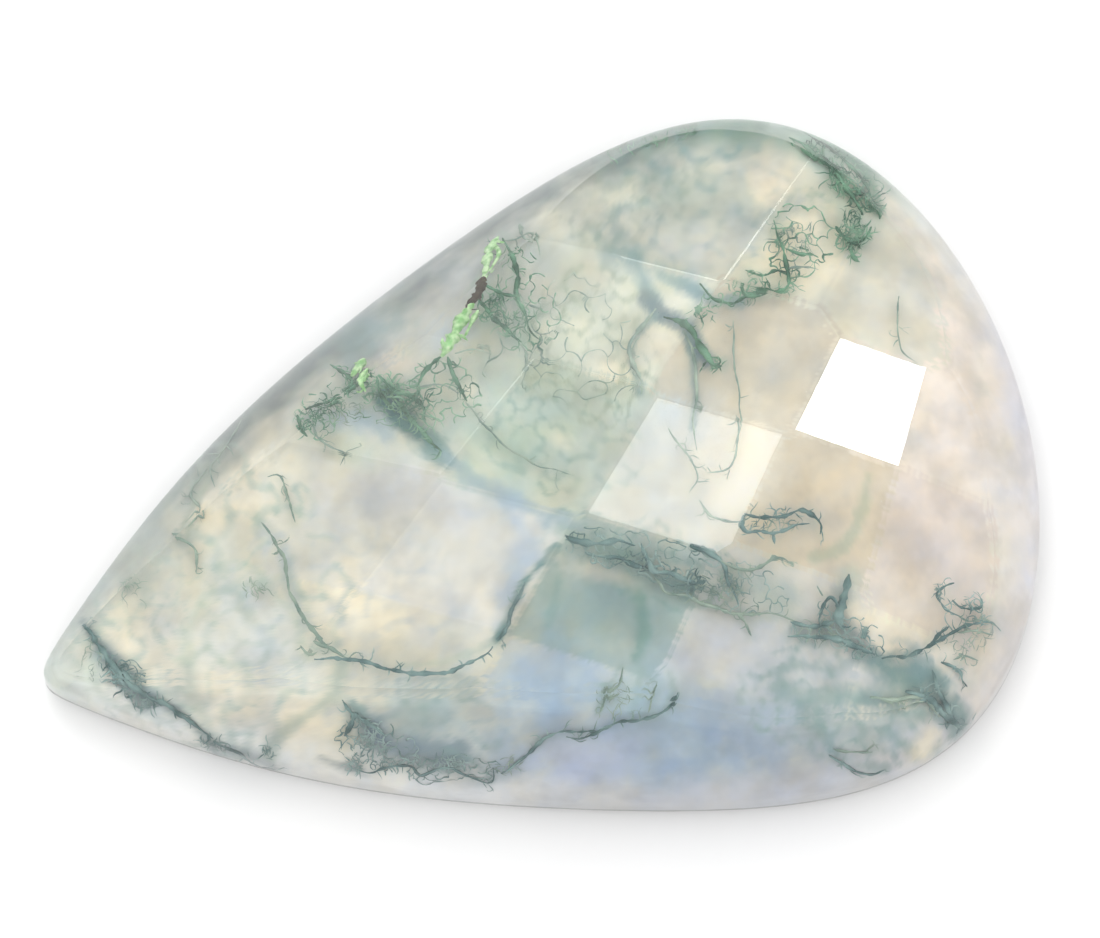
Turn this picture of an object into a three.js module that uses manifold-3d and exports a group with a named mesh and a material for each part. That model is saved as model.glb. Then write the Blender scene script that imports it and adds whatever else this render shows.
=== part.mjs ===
// Pear-cut moss agate with a checkerboard crown, a rounded rim and a flat back.
// Millimetres, +Z up. The back lies on z = 0, the tip points along -X and the round end along +X.

import * as THREE from 'three'
import { mergeVertices, toCreasedNormals } from 'three/addons/utils/BufferGeometryUtils.js'
import Module from 'manifold-3d'

// Outline in plan: x = halfLength cos t, y = sin t (swell + taper cos t + shoulder cos 3t - flank cos 4t)
const halfLength = 8.0
const swell = 4.82
const taper = 3.24
const shoulder = 0.17
const flank = 0.16

// Edge, from the back upwards
const backRounding = 0.22 // radius of the soft edge round the back
const girdleTop = 0.85 // height of the upright wall

// Preform above the girdle, before the facets are cut
const preformRise = 4.2 // height of its peak above the girdle
const preformX = 1.8 // point of the plan that its level lines shrink towards
const preformY = -0.45
const preformFlatness = 2.2 // larger is a flatter top
const preformFullness = 1.25 // larger is a fuller shoulder at the rim

// Table facet: the one on top, which the two sets of facet lines are counted from
const tableX = 2.39
const tableY = -0.47
const tableHeight = 3.9
const tableDropX = 0.037 // height lost per mm towards +X
const tableDropY = -0.06 // and towards +Y

// One step from line to line in plan, and how fast the facets shrink with each step
const firstStep = { x: 1.564, y: -1.048, shrink: -0.008 }
const secondStep = { x: 1.782, y: 1.766, shrink: 0.158 }

// Facet lines from the tip to the round end, in steps from the table's middle, with the height lost there
const firstLines = [
  { at: -4.8, fall: 2.89 },
  { at: -2.374, fall: 0.83 },
  { at: -1.756, fall: 0.397 },
  { at: -0.45, fall: 0 },
  { at: 0.45, fall: 0 },
  { at: 1.792, fall: 0.639 },
  { at: 7.49, fall: 6.42 },
]
const secondLines = [
  { at: -2.61, fall: 2.095 },
  { at: -1.5, fall: 0.7 },
  { at: -1.112, fall: 0.363 },
  { at: -0.45, fall: 0 },
  { at: 0.45, fall: 0 },
  { at: 1.599, fall: 0.72 },
  { at: 13.75, fall: 15.7 },
]

// Facets that the cutter left a little high, or low where negative, counted from the tip's end of each set
const uneven = [
  { first: 2, second: 1, high: 0.035 },
  { first: 2, second: 2, high: 0.04 },
  { first: 2, second: 3, high: 0.02 },
  { first: 2, second: 4, high: 0.015 },
  { first: 3, second: 4, high: -0.035 },
  { first: 3, second: 5, high: -0.035 },
  { first: 4, second: 2, high: 0.03 },
  { first: 4, second: 3, high: 0.075 },
  { first: 4, second: 4, high: 0.07 },
  { first: 4, second: 5, high: -0.045 },
]

// Fineness of the smooth rim
const outlineSteps = 120
const backSteps = 3
const rimSteps = 14
const crease = 0.1 // radians, the least turn that is shaded as an edge

const material = new THREE.MeshStandardMaterial({ color: 0xd9d8cc, roughness: 0.06, metalness: 0 })

const wasm = await Module()
wasm.setup()

function outlinePoint(t) {
  const half = swell + taper * Math.cos(t) + shoulder * Math.cos(3 * t) - flank * Math.cos(4 * t)
  return new THREE.Vector2(halfLength * Math.cos(t), Math.sin(t) * half)
}

// Level lines of the preform as { size, z }, where size scales the outline about preformX, preformY
function preformLevels() {
  const levels = []
  const inset = backRounding / swell
  for (let i = 0; i <= backSteps; i++) {
    const turn = (i / backSteps) * (Math.PI / 2)
    levels.push({ size: 1 - inset * (1 - Math.sin(turn)), z: backRounding * (1 - Math.cos(turn)) })
  }
  for (let i = 0; i < rimSteps; i++) {
    const turn = (i / rimSteps) * (Math.PI / 2)
    const size = Math.cos(turn) ** (2 / preformFlatness)
    const rise = (1 - size ** preformFlatness) ** (1 / preformFullness)
    levels.push({ size, z: girdleTop + preformRise * rise })
  }
  return levels
}

// Closed solid with a ring of points on each level and a fan at each end
function preformGeometry() {
  const points = []
  const faces = []
  const levels = preformLevels()
  for (const { size, z } of levels) {
    for (let i = 0; i < outlineSteps; i++) {
      const p = outlinePoint((i / outlineSteps) * 2 * Math.PI)
      points.push(preformX + size * (p.x - preformX), preformY + size * (p.y - preformY), z)
    }
  }
  for (let row = 0; row + 1 < levels.length; row++) {
    for (let i = 0; i < outlineSteps; i++) {
      const a = row * outlineSteps + i
      const b = row * outlineSteps + ((i + 1) % outlineSteps)
      faces.push(a, b, b + outlineSteps, a, b + outlineSteps, a + outlineSteps)
    }
  }
  const bottom = points.length / 3
  points.push(preformX, preformY, 0, preformX, preformY, girdleTop + preformRise)
  const lastRow = (levels.length - 1) * outlineSteps
  for (let i = 0; i < outlineSteps; i++) {
    const next = (i + 1) % outlineSteps
    faces.push(bottom, next, i)
    faces.push(bottom + 1, lastRow + i, lastRow + next)
  }
  return indexedGeometry(points, faces)
}

// Corner where a line of the first set crosses one of the second.
// The division keeps every facet flat while it narrows the pattern.
function facetCorner(first, second) {
  const scale = 1 / (1 + firstStep.shrink * first.at + secondStep.shrink * second.at)
  const x = (firstStep.x * first.at + secondStep.x * second.at) * scale
  const y = (firstStep.y * first.at + secondStep.y * second.at) * scale
  const drop = (first.fall + second.fall) * scale + tableDropX * x + tableDropY * y
  return new THREE.Vector3(tableX + x, tableY + y, tableHeight - drop)
}

// Plane of the facet between two neighbouring lines of each set, facing out of the stone
function facetPlane(i, j) {
  const a = facetCorner(firstLines[i], secondLines[j])
  const b = facetCorner(firstLines[i + 1], secondLines[j])
  const c = facetCorner(firstLines[i], secondLines[j + 1])
  const plane = new THREE.Plane().setFromCoplanarPoints(a, b, c)
  const odd = uneven.find(({ first, second }) => first === i && second === j)
  plane.constant -= odd ? odd.high : 0
  return plane
}

function indexedGeometry(points, faces) {
  const geometry = new THREE.BufferGeometry()
  geometry.setAttribute('position', new THREE.Float32BufferAttribute(points, 3))
  geometry.setIndex(faces)
  return geometry
}

function solidOf(geometry) {
  const merged = mergeVertices(geometry)
  const vertProperties = Float32Array.from(merged.attributes.position.array)
  const triVerts = Uint32Array.from(merged.index.array)
  return new wasm.Manifold(new wasm.Mesh({ numProp: 3, vertProperties, triVerts }))
}

// The preform with every facet cut from it, one plane after another
function stoneGeometry() {
  let solid = solidOf(preformGeometry())
  for (let j = 0; j + 1 < secondLines.length; j++) {
    for (let i = 0; i + 1 < firstLines.length; i++) {
      const { normal, constant } = facetPlane(i, j)
      solid = solid.trimByPlane([-normal.x, -normal.y, -normal.z], constant)
    }
  }
  const mesh = solid.getMesh()
  const geometry = indexedGeometry(Array.from(mesh.vertProperties), Array.from(mesh.triVerts))
  return toCreasedNormals(geometry, crease)
}

const stone = new THREE.Mesh(stoneGeometry(), material)
stone.name = 'gemstone'

const part = new THREE.Group()
part.add(stone)

export default part
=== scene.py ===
import math
import random

import bmesh
import bpy
import numpy as np
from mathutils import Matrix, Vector, noise
from mathutils.bvhtree import BVHTree
from mathutils.geometry import delaunay_2d_cdt
from mathutils.kdtree import KDTree


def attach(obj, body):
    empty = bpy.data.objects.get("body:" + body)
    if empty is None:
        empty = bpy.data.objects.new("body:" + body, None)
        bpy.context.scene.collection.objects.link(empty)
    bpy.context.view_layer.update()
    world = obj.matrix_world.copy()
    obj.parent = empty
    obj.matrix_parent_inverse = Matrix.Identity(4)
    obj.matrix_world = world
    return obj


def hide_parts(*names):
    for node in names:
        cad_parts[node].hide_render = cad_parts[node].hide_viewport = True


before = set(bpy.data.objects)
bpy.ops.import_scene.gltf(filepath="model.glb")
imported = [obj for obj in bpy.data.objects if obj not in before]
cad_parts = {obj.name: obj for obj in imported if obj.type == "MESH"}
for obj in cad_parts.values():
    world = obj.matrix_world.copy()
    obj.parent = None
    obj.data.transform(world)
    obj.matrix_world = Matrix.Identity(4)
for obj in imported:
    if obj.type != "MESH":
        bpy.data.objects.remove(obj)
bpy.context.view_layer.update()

MM = 0.001
TINY = 1e-5  # places nearer to each other than this are one

# The stone's form, from the same named values as the solid (millimetres)

HALF_LENGTH = 8.0
SWELL, TAPER, SHOULDER, FLANK = 4.82, 3.24, 0.17, 0.16
BACK_ROUNDING = 0.22
GIRDLE_TOP = 0.85
PREFORM_RISE = 4.2
PREFORM_X, PREFORM_Y = 1.8, -0.45
PREFORM_FLATNESS, PREFORM_FULLNESS = 2.2, 1.25
TABLE_X, TABLE_Y, TABLE_HEIGHT = 2.39, -0.47, 3.9
TABLE_DROP_X, TABLE_DROP_Y = 0.037, -0.06
FIRST_STEP = (1.564, -1.048, -0.008)  # x, y and shrink
SECOND_STEP = (1.782, 1.766, 0.158)
FIRST_LINES = [(-4.8, 2.89), (-2.374, 0.83), (-1.756, 0.397), (-0.45, 0), (0.45, 0), (1.792, 0.639),
               (7.49, 6.42)]
SECOND_LINES = [(-2.61, 2.095), (-1.5, 0.7), (-1.112, 0.363), (-0.45, 0), (0.45, 0), (1.599, 0.72),
                (13.75, 15.7)]
UNEVEN = {
    (2, 1): 0.035, (2, 2): 0.04, (2, 3): 0.02, (2, 4): 0.015, (3, 4): -0.035,
    (3, 5): -0.035, (4, 2): 0.03, (4, 3): 0.075, (4, 4): 0.07, (4, 5): -0.045,
}

OUTLINE_STEPS = 360
BACK_STEPS = 6
RIM_STEPS = 44
EDGE_WIDTH = 0.03  # polished width of the facet edges
SKIN = 0.9994  # keeps the finer outline inside the solid's box
IOR = 1.54


def level_point(size, t):
    """The place in plan at an angle round the outline, with the outline drawn in to a size."""
    half = SWELL + TAPER * math.cos(t) + SHOULDER * math.cos(3 * t) - FLANK * math.cos(4 * t)
    x, y = HALF_LENGTH * math.cos(t), math.sin(t) * half
    return PREFORM_X + size * (x - PREFORM_X), PREFORM_Y + size * (y - PREFORM_Y)


def preform_levels():
    """(size, height) of every level line, from the back upwards."""
    levels = []
    inset = BACK_ROUNDING / SWELL
    for i in range(BACK_STEPS + 1):
        turn = i / BACK_STEPS * math.pi / 2
        levels.append((1 - inset * (1 - math.sin(turn)), BACK_ROUNDING * (1 - math.cos(turn))))
    for i in range(RIM_STEPS):
        turn = i / RIM_STEPS * math.pi / 2
        size = math.cos(turn) ** (2 / PREFORM_FLATNESS)
        rise = (1 - size ** PREFORM_FLATNESS) ** (1 / PREFORM_FULLNESS)
        levels.append((size, GIRDLE_TOP + PREFORM_RISE * rise))
    return levels


def facet_corner(first, second):
    scale = 1 / (1 + FIRST_STEP[2] * first[0] + SECOND_STEP[2] * second[0])
    x = (FIRST_STEP[0] * first[0] + SECOND_STEP[0] * second[0]) * scale
    y = (FIRST_STEP[1] * first[0] + SECOND_STEP[1] * second[0]) * scale
    drop = (first[1] + second[1]) * scale + TABLE_DROP_X * x + TABLE_DROP_Y * y
    return Vector((TABLE_X + x, TABLE_Y + y, TABLE_HEIGHT - drop))


def facet_planes():
    """(point, normal) of every facet, by its place in the two sets of lines."""
    planes = {}
    for j in range(len(SECOND_LINES) - 1):
        for i in range(len(FIRST_LINES) - 1):
            a = facet_corner(FIRST_LINES[i], SECOND_LINES[j])
            b = facet_corner(FIRST_LINES[i + 1], SECOND_LINES[j])
            c = facet_corner(FIRST_LINES[i], SECOND_LINES[j + 1])
            normal = (b - a).cross(c - a).normalized()
            planes[i, j] = (a + normal * UNEVEN.get((i, j), 0), normal)
    return planes


FACETS = facet_planes()


def edge_planes():
    """(point, normal) of the narrow polished edge between every two facets."""
    edges = []
    for (i, j), (point, normal) in FACETS.items():
        for near in ((i + 1, j), (i, j + 1)):
            if near not in FACETS:
                continue
            other_point, other = FACETS[near]
            middle = (normal + other).normalized()
            reach = normal.dot(point) + other.dot(other_point)
            height = reach / (normal + other).length - EDGE_WIDTH / 2 * math.tan(normal.angle(other) / 2)
            edges.append((middle * height, middle))
    return edges


def stone_bmesh():
    """The preform with every facet and edge cut from it, in metres."""
    bm = bmesh.new()
    turns = [2 * math.pi * k / OUTLINE_STEPS for k in range(OUTLINE_STEPS)]
    rings = [[bm.verts.new((*level_point(size, t), z)) for t in turns] for size, z in preform_levels()]
    for low, high in zip(rings, rings[1:]):
        for k in range(OUTLINE_STEPS):
            n = (k + 1) % OUTLINE_STEPS
            bm.faces.new((low[k], low[n], high[n], high[k])).smooth = True
    bm.faces.new(list(reversed(rings[0]))).smooth = False
    bm.faces.new(rings[-1]).smooth = False
    for point, normal in list(FACETS.values()) + edge_planes():
        geometry = bm.verts[:] + bm.edges[:] + bm.faces[:]
        cut = {"plane_co": point, "plane_no": normal, "clear_outer": True}
        bmesh.ops.bisect_plane(bm, geom=geometry, dist=TINY, **cut)
        hole = [e for e in bm.edges if e.is_boundary]
        if hole:
            for face in bmesh.ops.holes_fill(bm, edges=hole, sides=0)["faces"]:
                face.smooth = False
    bmesh.ops.recalc_face_normals(bm, faces=bm.faces[:])
    for edge in bm.edges:
        edge.smooth = all(face.smooth for face in edge.link_faces)
    for vert in bm.verts:
        vert.co = Vector([value * SKIN for value in vert.co]) * MM
    return bm


# Camera: the photograph's view

AZIMUTH, ELEVATION, DISTANCE = -107.6, 77.0, 200 * MM
FOCAL_PX = 12680
WIDTH_PX, HEIGHT_PX = 1100, 938
ASIDE, ABOVE = 0.30 * MM, 1.08 * MM  # how far the view's middle is from the origin
SENSOR = 36
PX = DISTANCE / FOCAL_PX  # one pixel's width at the stone


def view_axes():
    az, el = math.radians(AZIMUTH), math.radians(ELEVATION)
    forward = -Vector((math.cos(el) * math.cos(az), math.cos(el) * math.sin(az), math.sin(el)))
    right = forward.cross(Vector((0, 0, 1))).normalized()
    return forward, right, right.cross(forward)


FORWARD, RIGHT, UP = view_axes()
EYE = RIGHT * ASIDE + UP * ABOVE - FORWARD * DISTANCE


def add_camera():
    data = bpy.data.cameras.new("photo_view")
    data.sensor_width = SENSOR
    data.lens = FOCAL_PX / WIDTH_PX * SENSOR
    data.clip_start, data.clip_end = 0.01, 10
    camera = bpy.data.objects.new("photo_view", data)
    camera.location = EYE
    camera.rotation_euler = (-FORWARD).to_track_quat("Z", "Y").to_euler()
    bpy.context.scene.collection.objects.link(camera)
    bpy.context.scene.camera = camera


add_camera()


# Nodes, objects and materials


def new_material(name):
    material = bpy.data.materials.new(name)
    material.use_nodes = True
    tree = material.node_tree
    return material, tree, tree.nodes["Principled BSDF"]


def add_node(tree, kind, **values):
    """A node whose settings and input values are given by name."""
    node = tree.nodes.new(kind)
    for key, value in values.items():
        if hasattr(node, key):
            setattr(node, key, value)
        else:
            node.inputs[key.replace("_", " ")].default_value = value
    return node


def ramp(tree, value, low, high, to_low, to_high, kind="SMOOTHSTEP"):
    """The value, taken from one range to another."""
    ends = {"From_Min": low, "From_Max": high, "To_Min": to_low, "To_Max": to_high}
    node = add_node(tree, "ShaderNodeMapRange", interpolation_type=kind, **ends)
    tree.links.new(value, node.inputs["Value"])
    return node.outputs["Result"]


def combine(tree, operation, one, other, clamp=False):
    node = add_node(tree, "ShaderNodeMath", operation=operation, use_clamp=clamp)
    tree.links.new(one, node.inputs[0])
    tree.links.new(other, node.inputs[1])
    return node.outputs["Value"]


def make_object(name, mesh):
    piece = bpy.data.objects.new(name, mesh)
    bpy.context.scene.collection.objects.link(piece)
    return piece


def add_piece(name, mesh):
    """A piece of the stone, which rides on the part's one body."""
    piece = make_object(name, mesh)
    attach(piece, "root")
    return piece


def stone_material():
    """Clear chalcedony. The milk, the clouds and the moss are pieces inside it."""
    material, tree, shader = new_material("moss_agate")
    shader.inputs["Base Color"].default_value = (1, 1, 1, 1)
    shader.inputs["Roughness"].default_value = 0.06
    shader.inputs["IOR"].default_value = IOR
    shader.inputs["Transmission Weight"].default_value = 1.0
    absorb = tree.nodes.new("ShaderNodeVolumeAbsorption")
    absorb.inputs["Color"].default_value = (0.90, 0.88, 0.72, 1)
    absorb.inputs["Density"].default_value = 100
    tree.links.new(absorb.outputs["Volume"], tree.nodes["Material Output"].inputs["Volume"])
    return material


stone_mesh = bpy.data.meshes.new("polished_stone")
form = stone_bmesh()
surface = BVHTree.FromBMesh(form)
form.to_mesh(stone_mesh)
form.free()
stone_mesh.materials.append(stone_material())
stone = add_piece("polished_stone", stone_mesh)
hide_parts("gemstone")


# Where a pixel of the photograph lies on the stone and in it


def bent(ray, normal):
    """The ray's direction once it has entered the stone."""
    cos_in = -ray.dot(normal)
    ratio = 1 / IOR
    cos_out = math.sqrt(1 - ratio * ratio * (1 - cos_in * cos_in))
    return (ray * ratio + normal * (ratio * cos_in - cos_out)).normalized()


def seen(px, py):
    """The place on the surface that is seen at that pixel, and the ray's direction behind it."""
    aside, below = px - WIDTH_PX / 2, py - HEIGHT_PX / 2
    ray = (FORWARD + RIGHT * aside / FOCAL_PX - UP * below / FOCAL_PX).normalized()
    hit, normal = surface.ray_cast(EYE, ray)[:2]
    return (None, None) if hit is None else (hit, bent(ray, normal))


# The veil: a thin milky sheet inside the stone that follows its crown and wall, and carries its haze, with
# painted light and shade along the rim and on some facets

VEIL_SIZE = 0.975  # of the outline
VEIL_STEPS = 700
VEIL_RINGS = 126
VEIL_WALL_RINGS = 8
VEIL_FOOT = 0.12  # mm above the back
VEIL_DEPTHS = [(0, 0.8), (0.6, 0.8), (0.8, 0.7), (1, 0.3)]  # (share of its size, mm under the crown)
OVERHEAD = 10  # mm, above the whole stone
ROOM_SHARE = 0.8  # how near to the veil the moss may come, as a share of the way to it
BACK_ROOM = 0.1 * MM  # what is kept free above the back where the veil is missed


def veil_levels():
    """(share of the veil's size, how far down its wall from 0 to 1) of every ring, from the foot up."""
    wall = [(1, 1 - k / VEIL_WALL_RINGS) for k in range(VEIL_WALL_RINGS)]
    return wall + [(1 - k / (VEIL_RINGS + 0.5), 0) for k in range(VEIL_RINGS + 1)]


def veil_form():
    places = []
    for share, down in veil_levels():
        depth = np.interp(share, *zip(*VEIL_DEPTHS))
        for k in range(VEIL_STEPS):
            above = Vector((*level_point(VEIL_SIZE * share, 2 * math.pi * k / VEIL_STEPS), OVERHEAD)) * MM
            top = surface.ray_cast(above, Vector((0, 0, -1)))[0]
            z = top.z / MM - depth
            places.append(Vector((top.x, top.y, (z + (VEIL_FOOT - z) * down) * MM)))
    faces = []
    for r in range(len(veil_levels()) - 1):
        for k in range(VEIL_STEPS):
            a, b = r * VEIL_STEPS + k, r * VEIL_STEPS + (k + 1) % VEIL_STEPS
            faces.append((a, b, b + VEIL_STEPS, a + VEIL_STEPS))
    faces.append(tuple(range(len(places) - VEIL_STEPS, len(places))))
    return places, faces


veil_places, veil_faces = veil_form()
veil = BVHTree.FromPolygons(veil_places, veil_faces)


def inside(px, py, depth):
    """The place in the stone, depth mm in from the surface but above the veil, that is seen at that pixel."""
    hit, way = seen(px, py)
    if hit is None:
        return None
    room = veil.ray_cast(hit, way)[3]
    if room is None:
        room = max(0, hit.z - BACK_ROOM)
    return hit + way * min(depth * MM, ROOM_SHARE * room)


def room_round(point):
    """How far the stone's surface is from a point inside it, in mm, or below 0 outside."""
    near, normal, _, _ = surface.find_nearest(point)
    return (near - point).dot(normal) / MM


# Moss: thread-like growths just under the crown
# Places and widths are pixels of the photograph, and depths are millimetres under the surface.

THREAD_STEP = 2.5  # from point to point along a thread
STRAY, STRAY_SCALE = 3.0, 0.12  # how far a strand strays from its route, and how fast from point to point
HALF_WIDTH = 0.54  # a thread's radius, as a share of the width that is asked for
LUMPS, LUMP_SIZE = 0.95, 0.09 * MM  # how much a thread swells and narrows, and over what length
THIN = 2.2  # threads below this width take the paler material
LEAST_DEPTH, LEAST_ROOM = 0.12, 0.04  # mm, along the view and straight to the surface
TWIGS, TANGLED = 1.3, 1.4  # threads that grow for each one asked for
FORK_LENGTH = 14  # shorter threads don't fork
STRAND_HAZE, TANGLE_HAZE, WEB_HAZE = 0.045, 0.05, 0.04  # strength for each pixel of a thread's width
HAZE_EDGE, HAZE_SPREAD, TANGLE_EDGE = 6, 1.6, 8  # how far the haze reaches beyond what it goes with
CURL = 0.6
FIRST_TURN, NEXT_TURN, TURN_KEPT = 0.4, 0.5, 0.8  # shares of the curl, and of the turn before
TIP_WIDTH, LEAST_SINK, MOST_SINK = 0.45, -0.15, 0.3  # of a thread that wanders, at its end
FORK_WIDTH = 0.7
LEAST_TWIG, TWIG_WIDTH = 1.3, 0.45  # width, and share of the strand's width
JITTER, ROW_STEP, BULGE = 0.45, 0.87, 0.3  # of a net's cells, as shares of their size
MOTTLE_STOPS = (0.35, 0.68)  # where the darker and the lighter shade begin
rng = random.Random(11)


def smooth_path(points):
    """Points every thread step along a curve through the given ones."""
    out = []
    ends = [points[0]] + list(points) + [points[-1]]
    for a, b, c, d in zip(ends, ends[1:], ends[2:], ends[3:]):
        count = max(1, round(math.dist(b, c) / THREAD_STEP))
        for k in range(count):
            t = k / count
            out.append(tuple(
                0.5 * (2 * q + (r - p) * t + (2 * p - 5 * q + 4 * r - s) * t * t
                       + (3 * q - p - 3 * r + s) * t ** 3)
                for p, q, r, s in zip(a, b, c, d)))
    out.append(tuple(points[-1]))
    return out


def leaning(centre, u, v, degrees):
    """The pixel that lies u along and v across a lean from a centre."""
    c, s = math.cos(math.radians(degrees)), math.sin(math.radians(degrees))
    return centre[0] + u * c - v * s, centre[1] + u * s + v * c


def net_lines(centre, radii, lean, cell, gaps):
    """Lines of pixels that run between cells of about the given size."""
    seeds = []
    for row in range(-int(radii[1] / cell) - 2, int(radii[1] / cell) + 3):
        for column in range(-int(radii[0] / cell) - 2, int(radii[0] / cell) + 3):
            u = (column + 0.5 * (row % 2) + rng.uniform(-JITTER, JITTER)) * cell
            v = (ROW_STEP * row + rng.uniform(-JITTER, JITTER)) * cell
            if math.hypot(u / (radii[0] + cell), v / (radii[1] + cell)) < 1:
                seeds.append(Vector(leaning(centre, u, v, lean)))
    places, _, triangles = delaunay_2d_cdt(seeds, [], [], 0, TINY)[:3]
    beside = {}
    for corners in triangles:
        middle = sum((places[k] for k in corners), Vector((0, 0))) / 3
        for pair in zip(corners, corners[1:] + corners[:1]):
            beside.setdefault(frozenset(pair), []).append(middle)
    lines = []
    for pair in sorted(beside, key=sorted):
        if len(beside[pair]) == 2 and rng.random() > gaps:
            a, b = beside[pair]
            bulge = Vector((a.y - b.y, b.x - a.x)) * rng.uniform(-BULGE, BULGE)
            lines.append([tuple(a.lerp(b, s) + bulge * 4 * s * (1 - s)) for s in (0, 0.2, 0.4, 0.6, 0.8, 1)])
    return lines


def places_along(path, depths):
    """The places in the stone under a path of pixels, as far as they lie well inside."""
    places = []
    for k, (x, y) in enumerate(path):
        depth = depths[0] + (depths[1] - depths[0]) * k / max(1, len(path) - 1)
        place = inside(x, y, max(LEAST_DEPTH, depth))
        if place is not None and room_round(place) >= LEAST_ROOM:
            places.append(place)
        elif len(places) > 2:
            break
        else:
            places = []
    return places


class Growth:
    """Collects the threads of one kind of moss, and the soft haze that goes with them."""

    def __init__(self, shade, sides=5):
        self.verts, self.faces, self.sides, self.shade = [], [], sides, shade
        self.thin = []
        self.haze_lines, self.haze_patches = [], []

    def tube(self, path, widths, depths, pointed=True):
        places = places_along(path, depths)
        if len(places) < 3:
            return
        first = len(self.verts)
        across = None
        for k, place in enumerate(places):
            ahead = (places[min(k + 1, len(places) - 1)] - places[max(k - 1, 0)])
            if ahead.length < 1e-9:
                ahead = Vector((1, 0, 0))
            ahead.normalize()
            if across is None:
                across = ahead.orthogonal()
            across = (across - ahead * across.dot(ahead)).normalized()
            other = ahead.cross(across)
            t = k / (len(places) - 1)
            lump = 1 + LUMPS * noise.noise(place / LUMP_SIZE)
            taper = min(1, 3 * t + 0.35) * min(1, 3 * (1 - t) + 0.25) if pointed else 1
            radius = (widths[0] + (widths[1] - widths[0]) * t) * HALF_WIDTH * PX * lump * taper
            for s in range(self.sides):
                turn = 2 * math.pi * s / self.sides
                self.verts.append(place + (across * math.cos(turn) + other * math.sin(turn)) * radius)
        for k in range(len(places) - 1):
            for s in range(self.sides):
                a, b = first + k * self.sides + s, first + k * self.sides + (s + 1) % self.sides
                self.faces.append((a, b, b + self.sides, a + self.sides))
        last = first + (len(places) - 1) * self.sides
        self.faces.append(tuple(first + s for s in reversed(range(self.sides))))
        self.faces.append(tuple(last + s for s in range(self.sides)))
        self.thin += [max(widths) < THIN] * (len(self.faces) - len(self.thin))

    def wander(self, start, heading, length, width, depth, curl, forks):
        """A thread that strays on its own, and may fork."""
        path = [start]
        x, y = start
        turn = rng.uniform(-curl, curl) * FIRST_TURN
        for _ in range(max(3, int(length / THREAD_STEP))):
            turn = TURN_KEPT * turn + rng.gauss(0, curl * NEXT_TURN)
            heading += turn
            x, y = x + THREAD_STEP * math.cos(heading), y + THREAD_STEP * math.sin(heading)
            path.append((x, y))
        self.tube(path, (width, width * TIP_WIDTH), (depth, depth + rng.uniform(LEAST_SINK, MOST_SINK)))
        if forks and length > FORK_LENGTH:
            k = rng.randrange(1, len(path) - 1)
            side = rng.choice((-1, 1)) * rng.uniform(0.5, 1.2)
            shorter = length * rng.uniform(0.35, 0.65)
            self.wander(path[k], heading + side, shorter, width * FORK_WIDTH, depth, curl, forks - 1)

    def strand(self, points, width, end_width, depth, end_depth, twigs=0, reach=0):
        """A main thread through given places, with twigs that leave it on both sides."""
        path = smooth_path(points)
        seed = rng.uniform(0, 100)
        path = [
            (x + STRAY * noise.noise((k * STRAY_SCALE, seed, 0)),
             y + STRAY * noise.noise((k * STRAY_SCALE, seed, 9)))
            for k, (x, y) in enumerate(path)
        ]
        self.tube(path, (width, end_width), (depth, end_depth))
        wide = max(width, end_width)
        soft_width = HAZE_EDGE + HAZE_SPREAD * wide
        self.haze_lines.append((path[::6] + [path[-1]], soft_width, self.shade, STRAND_HAZE * wide))
        for _ in range(round(twigs * TWIGS)):
            k = rng.randrange(1, max(2, len(path) - 1))
            (x0, y0), (x1, y1) = path[k - 1], path[k]
            heading = math.atan2(y1 - y0, x1 - x0) + rng.choice((-1, 1)) * rng.uniform(0.4, 1.5)
            length = reach * rng.uniform(0.5, 1.5)
            thin = max(LEAST_TWIG, min(width, end_width) * TWIG_WIDTH)
            self.wander(path[k], heading, length, thin, (depth + end_depth) / 2, CURL, 1)

    def tangle(self, centre, radii, lean, count, length, width, least, most, curl=CURL):
        """Short curled threads that fill a patch."""
        for _ in range(round(count * TANGLED)):
            r, turn = math.sqrt(rng.random()), rng.uniform(0, 2 * math.pi)
            spot = leaning(centre, r * radii[0] * math.cos(turn), r * radii[1] * math.sin(turn), lean)
            heading = rng.uniform(0, 6.3)
            long, wide = length * rng.uniform(0.5, 1.3), width * rng.uniform(0.45, 0.9)
            self.wander(spot, heading, long, wide, rng.uniform(least, most), curl, 0)
        soft = radii[0] + TANGLE_EDGE, radii[1] + TANGLE_EDGE
        self.haze_patches.append((centre, soft, lean, self.shade, TANGLE_HAZE * width))

    def web(self, centre, radii, lean, cell, width, least, most, gaps):
        """A net of threads round cells of about the given size."""
        for path in net_lines(centre, radii, lean, cell, gaps):
            thick = width * rng.uniform(0.5, 1.3)
            level = rng.uniform(least, most)
            self.tube(path, (thick, thick * rng.uniform(0.6, 1.2)), (level, level), False)
        self.haze_patches.append((centre, radii, lean, self.shade, WEB_HAZE * width))

    def finish(self, name, material, thin_material=None):
        mesh = bpy.data.meshes.new(name)
        mesh.from_pydata([tuple(v) for v in self.verts], [], self.faces)
        mesh.polygons.foreach_set("use_smooth", [len(p.vertices) == 4 for p in mesh.polygons])
        mesh.materials.append(material)
        mesh.materials.append(thin_material or material)
        mesh.polygons.foreach_set("material_index", self.thin)
        mesh.validate()
        add_piece(name, mesh)


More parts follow.
